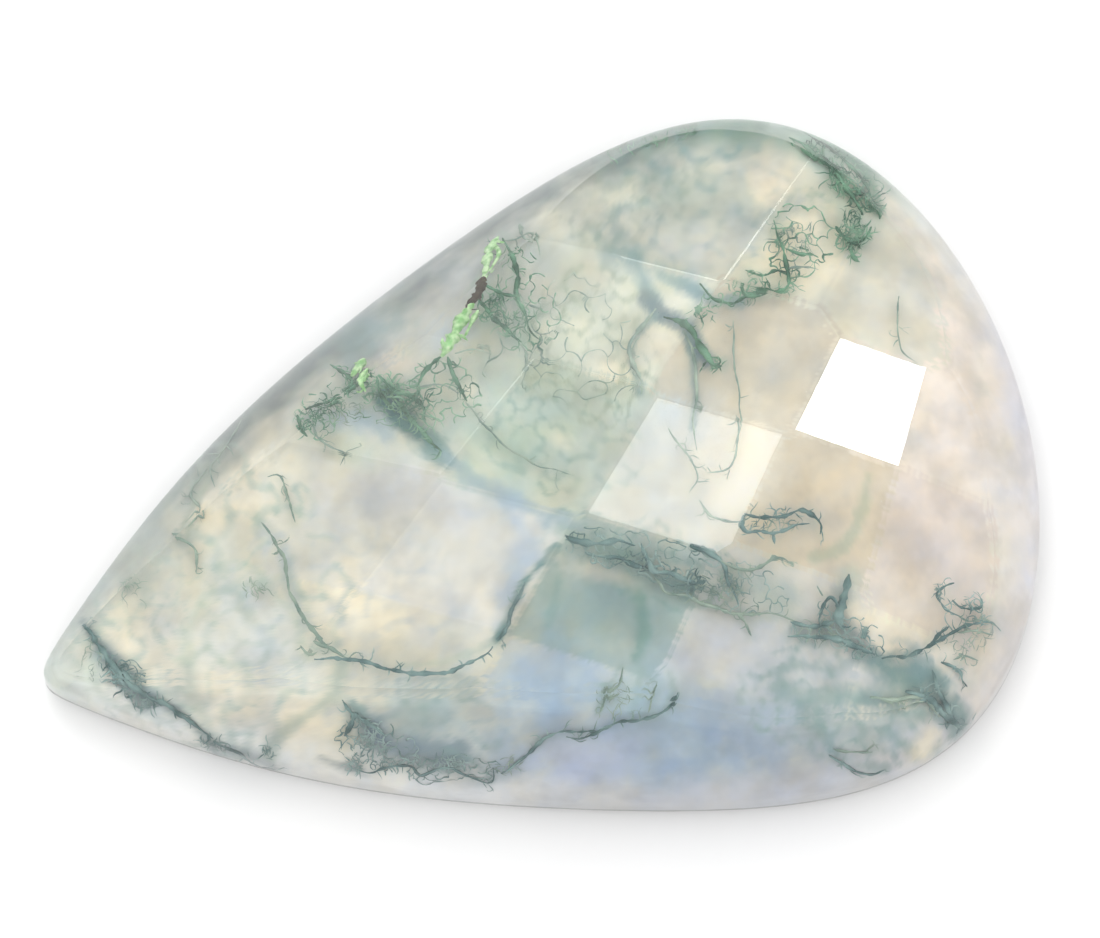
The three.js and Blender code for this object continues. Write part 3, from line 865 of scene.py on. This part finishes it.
NEAR = [
    ((680, 460), (90, 80), 0, (0.60, 0.64, 0.64), 0.55),
    ((745, 465), (40, 70), 10, CREAM, 0.6),
    ((665, 348), (26, 34), 0, TAN, 0.6),
    ((672, 186), (26, 34), 20, TEAL, 0.3),
    ((700, 245), (60, 30), -6, LILAC, 0.5),
    ([(612, 216), (616, 240), (608, 264)], 20, TEAL, 0.5),
    ([(634, 258), (646, 288), (660, 312)], 16, TEAL, 0.8),
    ([(660, 276), (690, 286), (714, 302), (740, 300)], 14, TEAL, 0.7),
    ([(646, 298), (666, 314), (686, 324), (696, 344), (710, 362)], 14, SLATE, 0.85),
    ([(656, 314), (638, 336), (630, 362), (638, 392)], 8, TEAL, 0.6),
    ([(686, 326), (696, 360), (696, 400), (694, 430)], 7, TEAL, 0.6),
    ([(740, 168), (748, 200), (742, 230)], 11, GREY, 0.5),
    ([(690, 180), (700, 204), (730, 206), (748, 200)], 10, GREY, 0.5),
    ([(668, 214), (684, 234), (690, 262)], 10, GREY, 0.5),
    ([(794, 170), (800, 200), (790, 214)], 11, GREY, 0.5),
    ([(775, 127), (806, 146), (828, 168), (840, 196), (845, 218)], 22, GREEN, 0.7),
    ([(812, 138), (838, 166), (856, 200), (858, 240)], 18, (0.28, 0.45, 0.36), 0.55),
    ([(830, 140), (852, 158), (868, 182), (880, 212)], 11, MOSS, 0.6),
    ((366, 330), (46, 26), -34, TEAL, 0.6),
    ((452, 330), (26, 18), 0, BLUE, 0.5),
    ((350, 424), (54, 18), 8, BLUE, 0.6),
    ((345, 444), (46, 16), 24, GREEN, 0.5),
    ((368, 424), (36, 16), 20, (0.32, 0.45, 0.47), 0.6),
    ((345, 395), (44, 26), 0, GREEN, 0.5),
    ((500, 306), (24, 36), -16, (0.36, 0.52, 0.42), 0.5),
    ([(384, 396), (402, 416), (424, 436), (445, 455)], 22, (0.07, 0.21, 0.21), 0.95),
    ([(445, 455), (476, 482), (512, 502), (548, 516), (580, 530)], 18, (0.32, 0.44, 0.48), 0.75),
    ([(506, 496), (524, 540), (512, 600)], 28, BLUE, 0.5),
    ((490, 440), (60, 40), 30, (0.46, 0.61, 0.54), 0.6),
    ((560, 437), (18, 10), 0, CREAM, 0.4),
    ((598, 368), (18, 15), 0, CREAM, 0.4),
    ((468, 396), (11, 9), 0, CREAM, 0.5),
    ((500, 505), (60, 16), 22, BLUE, 0.3),
    ((152, 545), (70, 30), -44, GREY, 0.6),
    ([(224, 448), (213, 468), (204, 490), (190, 512), (184, 532)], 9, (0.44, 0.52, 0.42), 0.5),
    ([(284, 550), (290, 590), (306, 624)], 14, (0.55, 0.62, 0.62), 0.6),
    ([(206, 596), (186, 636), (190, 690), (208, 722)], 14, GREEN, 0.35),
    ([(226, 588), (262, 584), (292, 612), (304, 644)], 9, GREEN, 0.35),
    ([(82, 622), (94, 640), (106, 654)], 8, SLATE, 0.5),
    ([(106, 654), (118, 668), (130, 686), (144, 698)], 23, (0.21, 0.31, 0.35), 0.75),
    ([(146, 698), (176, 709), (196, 726), (208, 740), (216, 756)], 8, SLATE, 0.5),
    ([(214, 744), (244, 756), (272, 768)], 8, SLATE, 0.4),
    ((88, 680), (13, 26), 0, (0.80, 0.88, 0.78), 0.6),
    ([(342, 664), (336, 692), (302, 720), (276, 737), (267, 756)], 15, (0.42, 0.52, 0.46), 0.6),
    ([(352, 704), (366, 722), (380, 740)], 10, TEAL, 0.7),
    ([(372, 730), (392, 748), (424, 754), (462, 752)], 24, (0.25, 0.34, 0.40), 0.8),
    ([(448, 752), (478, 766), (490, 778)], 9, TEAL, 0.6),
    ([(414, 560), (410, 600), (422, 640)], 20, LILAC, 0.3),
    ([(400, 664), (440, 662), (478, 650), (498, 640)], 10, GREEN, 0.4),
    ([(500, 638), (508, 622), (514, 605), (521, 588), (532, 575), (546, 562),
         (556, 548)], 10, (0.13, 0.27, 0.27), 0.9),
    ([(506, 600), (516, 574), (534, 556)], 16, BLUE, 0.4),
    ([(560, 576), (556, 600), (547, 626)], 8, TEAL, 0.6),
    ([(640, 598), (642, 626), (636, 656)], 15, (0.17, 0.33, 0.30), 0.7),
    ((592, 572), (46, 12), 14, TAN, 0.5),
    ([(560, 532), (600, 546), (640, 556), (680, 578), (704, 584)], 14, (0.28, 0.44, 0.39), 0.4),
    ([(610, 520), (660, 538), (712, 556)], 9, GREY, 0.5),
    ((686, 580), (15, 9), 24, (0.16, 0.32, 0.31), 0.6),
    ((622, 548), (24, 8), 14, (0.22, 0.38, 0.37), 0.5),
    ((672, 562), (20, 8), 20, TAN, 0.4),
    ((762, 590), (40, 26), 14, (0.38, 0.50, 0.46), 0.55),
    ([(598, 714), (610, 690), (622, 666)], 8, TEAL, 0.5),
    ([(632, 714), (640, 690), (642, 668)], 7, TEAL, 0.4),
    ([(664, 708), (674, 690), (670, 672)], 7, TEAL, 0.4),
    ((640, 694), (40, 30), -20, (0.42, 0.57, 0.58), 0.6),
    ([(870, 476), (866, 504), (857, 530), (844, 546), (814, 556)], 13, (0.46, 0.52, 0.40), 0.6),
    ([(842, 590), (838, 610), (852, 632), (874, 654)], 19, SLATE, 0.5),
    ([(792, 628), (822, 630), (852, 640)], 13, (0.34, 0.44, 0.44), 0.5),
    ([(770, 676), (800, 664), (834, 672), (862, 656), (880, 662)], 11, (0.30, 0.42, 0.42), 0.6),
    ([(776, 690), (810, 700), (846, 694), (884, 700), (920, 696)], 22, TEAL, 0.6),
    ([(880, 664), (904, 672), (930, 682), (946, 704), (958, 732)], 28, (0.18, 0.31, 0.31), 0.85),
    ([(864, 700), (900, 712), (934, 716), (954, 734)], 13, TEAL, 0.6),
    ([(800, 706), (818, 728), (830, 748), (856, 766), (886, 768)], 11, TEAL, 0.5),
    ([(884, 730), (910, 750), (936, 752)], 10, TEAL, 0.5),
    ((856, 668), (22, 8), 0, LILAC, 0.6),
    ((932, 744), (26, 12), -30, CREAM, 0.95),
    ((868, 618), (30, 14), 20, CREAM, 0.6),
    ((128, 648), (20, 11), 0, CREAM, 0.7),
    ((775, 184), (27, 24), 0, TAN, 0.8),
    ((802, 226), (24, 20), 0, CREAM, 0.8),
    ((768, 256), (20, 14), 0, CREAM, 0.6),
    ((788, 250), (26, 22), 0, CREAM, 0.6),
    ((822, 262), (28, 20), 0, CREAM, 0.9),
    ((720, 166), (26, 9), 0, CREAM, 0.4),
    ((585, 205), (34, 24), -30, (0.72, 0.73, 0.66), 0.5),
    ((704, 228), (40, 14), 0, (0.70, 0.71, 0.62), 0.5),
    ((677, 300), (13, 9), 0, CREAM, 0.4),
    ((592, 302), (56, 54), 0, (0.52, 0.56, 0.44), 0.3),
    ((692, 290), (22, 13), 20, (0.18, 0.31, 0.33), 0.6),
    ([(320, 758), (336, 766), (360, 768)], 12, SLATE, 0.5),
    ((428, 448), (16, 10), 40, (0.30, 0.45, 0.44), 0.5),
]

# A soft net is (centre, radii, lean, size of its cells, width, tone, strength).
NETS = [
    ((590, 350), (56, 70), 0, 24, 6, (0.36, 0.44, 0.34), 0.60),
    ((560, 440), (70, 40), 20, 24, 6, (0.30, 0.44, 0.38), 0.55),
    ((690, 200), (90, 60), 0, 34, 9, TEAL, 0.45),
    ((620, 190), (60, 50), -20, 20, 6, (0.34, 0.42, 0.36), 0.35),
    ((800, 235), (40, 40), 0, 20, 5, (0.32, 0.44, 0.34), 0.30),
    ((850, 700), (110, 50), 8, 24, 7, TEAL, 0.40),
    ((200, 600), (130, 130), -30, 44, 8, (0.42, 0.54, 0.48), 0.45),
    ((170, 650), (130, 90), 0, 24, 5, (0.46, 0.56, 0.50), 0.30),
    ((350, 600), (110, 90), 0, 40, 9, (0.56, 0.62, 0.64), 0.35),
    ((430, 715), (70, 40), 0, 26, 7, TEAL, 0.30),
    ((650, 560), (110, 26), 14, 20, 6, (0.18, 0.34, 0.31), 0.35),
]

# Haze that shows through one facet only, with painted facet shading: its tone and strength. Part is the
# stone's cloud seen through that facet, and part is painted brightness and shade that stand in for the
# facet's own reflection and refraction.
FACET_HAZE_AND_SHADING = {
    (3, 2): (TEAL, 0.60), (2, 2): ((0.68, 0.69, 0.70), 0.50), (1, 2): ((0.66, 0.67, 0.67), 0.35),
    (2, 3): (GREEN, 0.35), (2, 4): ((0.76, 0.77, 0.64), 0.50), (3, 1): (BLUE, 0.35),
    (4, 2): ((0.62, 0.63, 0.66), 0.40), (3, 4): ((0.60, 0.55, 0.45), 0.70),
    (4, 3): ((0.68, 0.60, 0.47), 0.70), (4, 5): ((0.70, 0.72, 0.62), 0.50), (1, 3): (GREEN, 0.20),
    (3, 3): ((0.66, 0.68, 0.70), 0.20), (3, 5): ((0.74, 0.73, 0.58), 0.40), (2, 1): (PALE, 0.25),
    (5, 3): ((0.74, 0.66, 0.62), 0.60), (5, 4): ((0.90, 0.83, 0.76), 0.40),
    (5, 2): ((0.94, 0.86, 0.72), 0.40),
}

# Painted light and shade along the rim: the dark band at the upper left stands in for the shade that
# refraction brings to the far rim, with some moss in it, and the pale band on the right and at the bottom
# brightens the veil's wall, which gets little light. (degrees round the outline from the round end, tone,
# share of the half width)
RIM_LIGHT_AND_SHADE = [
    (0, (0.74, 0.72, 0.76), 0.05), (22, (0.76, 0.78, 0.74), 0.03), (32, MOSS, 0.03), (50, MOSS, 0.07),
    (58, (0.16, 0.23, 0.19), 0.08), (68, (0.08, 0.14, 0.13), 0.08), (92, (0.08, 0.14, 0.14), 0.10),
    (118, (0.10, 0.15, 0.15), 0.12), (132, (0.20, 0.27, 0.25), 0.08), (150, (0.40, 0.46, 0.44), 0.05),
    (170, (0.60, 0.66, 0.62), 0.04), (185, (0.78, 0.84, 0.76), 0.04), (205, (1.0, 1.0, 0.95), 0.05),
    (250, (0.94, 0.94, 0.92), 0.04), (272, (0.70, 0.71, 0.74), 0.04), (285, (0.68, 0.70, 0.75), 0.05),
    (300, (0.76, 0.77, 0.80), 0.04), (318, (0.82, 0.79, 0.79), 0.05), (340, (0.86, 0.83, 0.84), 0.05),
    (360, (0.74, 0.72, 0.76), 0.05),
]

BODY_COVER, MOST_COVER = 0.85, 0.97
HAZE_SEED = 29.2
SWIRL_LAYERS, FRAY_LAYER, MOTTLE_LAYERS = (0, 5), 9, (20, 30)  # of noise, above the seed
FRAY, RIM_FRAY, MOTTLES = (0.8, 2.1, 4), (0.8, 2.1, 3), (0.7, 2.1, 3)  # of noise: roughness, step, sizes
SWIRL_SCALE, FRAY_SCALE, MOTTLE_SCALE = 0.017, 0.03, 0.028  # of noise, for each pixel
RIM_FRAY_SIZE = 0.8 * MM
CLOUD_SHIFT, STROKE_SHIFT = 16, 4  # pixels that the swirl moves them by
CLOUD_EDGE, CLOUD_FRAY = 0.72, 0.32
STROKE_WIDTH, STROKE_STRENGTH, STROKE_FRAY = 0.8, 1.1, 0.45
STROKE_REACH = 1.5  # widths, beyond which a stroke lays nothing
RIM_STRENGTH, RIM_SPREAD, RIM_EDGE_FRAY = 0.9, 2, 0.3
DARKER, WARMER = (0.10, 0.09, 0.08), (0.05, 0.01, -0.07)  # what the two mottles do to red, green and blue
ON_FACET, FACET_FADE, NO_EDGE = 0.01, 0.04, 9  # mm
FOOT_FADE = 0.13  # share of the wall's height over which the cover fades out at the foot
NET_GAPS = 0.25
SEEN_X, SEEN_Y = range(34, 1056, 2), range(106, 830, 2)  # pixels that show the stone
GRAIN_SIZE, GRAIN_RANGE = 0.9 * MM, (0.3, 0.7)
LEAST_GRAIN, MOST_GRAIN = 0.86, 1.1  # what the grain makes of the cover


def facets_under(points):
    """The facet that each place of the surface lies on, as counted in FACETS, and the mm to its edges."""
    normals = np.array([normal for _, normal in FACETS.values()])
    reach = np.array([point.dot(normal) for point, normal in FACETS.values()])
    gaps = reach - points / (SKIN * MM) @ normals.T
    nearest = gaps.argmin(axis=1)
    turns = np.sqrt(np.clip(1 - (normals @ normals.T) ** 2, 1e-9, 1))
    margins = gaps / turns[nearest]
    margins[np.arange(len(points)), nearest] = NO_EDGE
    return nearest, np.where(gaps.min(axis=1) < ON_FACET, margins.min(axis=1), 0)


def soft_edge(distance):
    near = np.clip(1 - distance, 0, 1)
    return near * near * (3 - 2 * near)


def distance_to(points, path):
    best = np.full(len(points), np.inf)
    for a, b in zip(path, path[1:]):
        a, b = np.array(a, float), np.array(b, float)
        t = np.clip(((points - a) @ (b - a)) / max(1e-6, (b - a) @ (b - a)), 0, 1)
        best = np.minimum(best, np.linalg.norm(points - a - t[:, None] * (b - a), axis=1))
    return best


def paint(pixels, hits, edge, rim_light_and_shade_tone):
    """Cover and tone of the veil at points that are seen at the given pixels, through the given places."""
    swirl = [[noise.noise((x * SWIRL_SCALE, y * SWIRL_SCALE, HAZE_SEED + k)) for k in SWIRL_LAYERS]
             for x, y in pixels]
    ragged = [noise.fractal((x * FRAY_SCALE, y * FRAY_SCALE, HAZE_SEED + FRAY_LAYER), *FRAY)
              for x, y in pixels]
    swirl, ragged = np.array(swirl), np.array(ragged)
    moved, nudged = pixels + swirl * CLOUD_SHIFT, pixels + swirl * STROKE_SHIFT
    clear = np.ones(len(pixels))
    tone = np.zeros((len(pixels), 3))

    def lay(strength, shade, which=slice(None)):
        strength = np.clip(strength, 0, MOST_COVER)
        tone[which] = tone[which] * (1 - strength)[:, None] + strength[:, None] * np.array(shade)
        clear[which] *= 1 - strength

    def lay_cloud(centre, radii, lean, shade, strength):
        away, lean = moved - np.array(centre), math.radians(lean)
        u = (away[:, 0] * math.cos(lean) + away[:, 1] * math.sin(lean)) / radii[0]
        v = (away[:, 1] * math.cos(lean) - away[:, 0] * math.sin(lean)) / radii[1]
        lay(strength * soft_edge(np.hypot(u, v) * CLOUD_EDGE - CLOUD_FRAY * ragged), shade)

    def lay_stroke(path, width, shade, strength):
        width *= STROKE_WIDTH
        low, high = np.min(path, axis=0) - STROKE_REACH * width, np.max(path, axis=0) + STROKE_REACH * width
        which = np.flatnonzero(((nudged > low) & (nudged < high)).all(axis=1))
        if len(which):
            away = distance_to(nudged[which], path) / width
            lay(STROKE_STRENGTH * strength * soft_edge(away - STROKE_FRAY * ragged[which]), shade, which)

    def lay_all(layers):
        for layer in layers:
            (lay_cloud if len(layer) == 5 else lay_stroke)(*layer)

    lay(np.full(len(pixels), BODY_COVER), PALE)
    lay_all(DEEP)
    facet, margin = facets_under(hits)
    # painted facet shading: each facet's brightness and shade from reflection and refraction, laid with the
    # haze seen through it
    for key, (shade, strength) in FACET_HAZE_AND_SHADING.items():
        which = facet == list(FACETS).index(key)
        lay(np.where(which, strength * np.clip(margin / FACET_FADE, 0, 1), 0), shade)
    # painted light and shade along the rim: a dark band partly of moss, and a pale band that brightens the
    # wall
    lay(edge, rim_light_and_shade_tone)
    lay_all(soft_nets + moss_haze + NEAR)
    tone /= np.maximum(1e-6, 1 - clear)[:, None]
    mottle = np.array([
        [noise.fractal((x * MOTTLE_SCALE, y * MOTTLE_SCALE, HAZE_SEED + k), *MOTTLES) for k in MOTTLE_LAYERS]
        for x, y in pixels
    ])
    tone *= 1 + mottle[:, :1] * np.array(DARKER) + mottle[:, 1:] * np.array(WARMER)
    return 1 - clear, np.clip(tone, 0, 1)


def views_of_veil():
    """For every place of the veil, the pixel that it is seen at and the place of the surface before it."""
    found = []
    for py in SEEN_Y:
        for px in SEEN_X:
            hit, way = seen(px, py)
            place = None if hit is None else veil.ray_cast(hit, way)[0]
            if place is not None:
                found.append((place, (px, py), hit))
    tree = KDTree(len(found))
    for k, (place, _, _) in enumerate(found):
        tree.insert(place, k)
    tree.balance()
    nearest = [found[tree.find(place)[1]] for place in veil_places]
    return np.array([view[1] for view in nearest], float), np.array([view[2] for view in nearest])


def painted_rim_light_and_shade(share):
    """Strength and tone of the painted light and shade along the rim, for every point of the veil."""
    degrees = np.tile(np.arange(VEIL_STEPS) * 360 / VEIL_STEPS, len(veil_levels()))
    stops, tones, reaches = zip(*RIM_LIGHT_AND_SHADE)
    ragged = np.array([noise.fractal(place / RIM_FRAY_SIZE, *RIM_FRAY) for place in veil_places])
    reach = RIM_SPREAD * np.interp(degrees, stops, reaches)
    strength = RIM_STRENGTH * soft_edge((1 - share) / reach - RIM_EDGE_FRAY * ragged)
    return strength, np.stack([np.interp(degrees, stops, part) for part in zip(*tones)], axis=1)


def add_veil(name):
    pixels, hits = views_of_veil()
    share, down = np.repeat(np.array(veil_levels()), VEIL_STEPS, axis=0).T
    cover, tone = paint(pixels, hits, *painted_rim_light_and_shade(share))
    cover = cover * np.clip((1 - down) / FOOT_FADE, 0, 1)
    mesh = bpy.data.meshes.new(name)
    mesh.from_pydata([tuple(place) for place in veil_places], [], veil_faces)
    mesh.polygons.foreach_set("use_smooth", [True] * len(veil_faces))
    mesh.attributes.new("cover", "FLOAT", "POINT").data.foreach_set("value", cover.astype(np.float32))
    rgba = np.concatenate([tone, np.ones((len(tone), 1))], axis=1).astype(np.float32)
    mesh.attributes.new("tone", "FLOAT_COLOR", "POINT").data.foreach_set("color", rgba.ravel())
    mesh.materials.append(veil_material(name))
    add_piece(name, mesh)


def veil_material(name):
    """Cloudy cover in the tones painted on the sheet, which carry painted light and shade along the rim and
    on some facets.
    """
    material, tree, shader = new_material(name)
    tone = add_node(tree, "ShaderNodeAttribute", attribute_name="tone").outputs["Color"]
    cover = add_node(tree, "ShaderNodeAttribute", attribute_name="cover").outputs["Fac"]
    place = tree.nodes.new("ShaderNodeTexCoord").outputs["Object"]
    grain = add_node(tree, "ShaderNodeTexNoise", Scale=1 / GRAIN_SIZE, Detail=3)
    tree.links.new(place, grain.inputs["Vector"])
    cloudy = ramp(tree, grain.outputs["Fac"], *GRAIN_RANGE, LEAST_GRAIN, MOST_GRAIN)
    tree.links.new(combine(tree, "MULTIPLY", cloudy, cover, True), shader.inputs["Alpha"])
    tree.links.new(tone, shader.inputs["Base Color"])
    shader.inputs["Roughness"].default_value = 1
    shader.inputs["Specular IOR Level"].default_value = 0
    return material


mossy = (dark, slate, fine)
soft_nets = [
    (path, width * rng.uniform(0.6, 1.3), shade, strength * rng.uniform(0.3, 1))
    for centre, radii, lean, cell, width, shade, strength in NETS
    for path in net_lines(centre, radii, lean, cell, NET_GAPS)
]
moss_haze = [p for g in mossy for p in g.haze_patches] + [s for g in mossy for s in g.haze_lines]
add_veil("veil")


# Ground and light

FLOOR_REACH, FLOOR_DROP = 1.5, 0.00001
FLOOR_GREY = 0.74
SKY_LOW, SKY_HIGH = 1.25, 1.65  # at the horizon and overhead
LIGHTS = [  # direction, radius and softness in degrees, strength, seen in reflections only
    ((0.05, 0.72, 0.69), 20, 12, 1.8, False),
    ((-0.299, 0.009, 0.954), 6, 1, 1.0, True),
    ((0.695, 0.208, 0.689), 7, 0.5, 26, True),
    ((0.141, 0.097, 0.985), 8, 1, 3.7, True),
    ((-0.168, 0.520, 0.838), 1.2, 0.15, 4, True),
    ((0.461, 0.836, 0.299), 1.2, 0.15, 7, True),
    ((0.29, 0.83, 0.49), 2.5, 1, 3, True),
]


def add_floor():
    mesh = bpy.data.meshes.new("ground")
    bm = bmesh.new()
    bmesh.ops.create_grid(bm, x_segments=1, y_segments=1, size=FLOOR_REACH)
    bm.to_mesh(mesh)
    bm.free()
    floor = make_object("ground", mesh)
    floor.location.z = -FLOOR_DROP
    material, _, shader = new_material("ground")
    shader.inputs["Base Color"].default_value = (FLOOR_GREY, FLOOR_GREY, FLOOR_GREY, 1)
    shader.inputs["Roughness"].default_value = 0.9
    mesh.materials.append(material)


def add_world():
    """A sky that brightens upwards, with one soft light and six small ones that only reflections show."""
    world = bpy.data.worlds.new("studio")
    bpy.context.scene.world = world
    world.use_nodes = True
    world.cycles.sampling_method = "NONE"
    tree = world.node_tree
    way = add_node(tree, "ShaderNodeTexCoord").outputs["Generated"]
    parts = tree.nodes.new("ShaderNodeSeparateXYZ")
    tree.links.new(way, parts.inputs["Vector"])
    reflected = tree.nodes.new("ShaderNodeLightPath").outputs["Is Glossy Ray"]
    total = ramp(tree, parts.outputs["Z"], 0, 1, SKY_LOW, SKY_HIGH, "LINEAR")
    for direction, radius, softness, strength, only_reflected in LIGHTS:
        toward = add_node(tree, "ShaderNodeVectorMath", operation="DOT_PRODUCT")
        tree.links.new(way, toward.inputs[0])
        toward.inputs[1].default_value = Vector(direction).normalized()
        low, high = math.cos(math.radians(radius + softness)), math.cos(math.radians(radius - softness))
        light = ramp(tree, toward.outputs["Value"], low, high, 0, strength)
        if only_reflected:
            light = combine(tree, "MULTIPLY", light, reflected)
        total = combine(tree, "ADD", total, light)
    background = tree.nodes["Background"]
    background.inputs["Color"].default_value = (1, 1, 1, 1)
    tree.links.new(total, background.inputs["Strength"])


add_floor()
add_world()
scene = bpy.context.scene
scene.view_settings.view_transform = "Standard"
scene.cycles.max_bounces = 8
scene.cycles.diffuse_bounces = 3
scene.cycles.transparent_max_bounces = 8
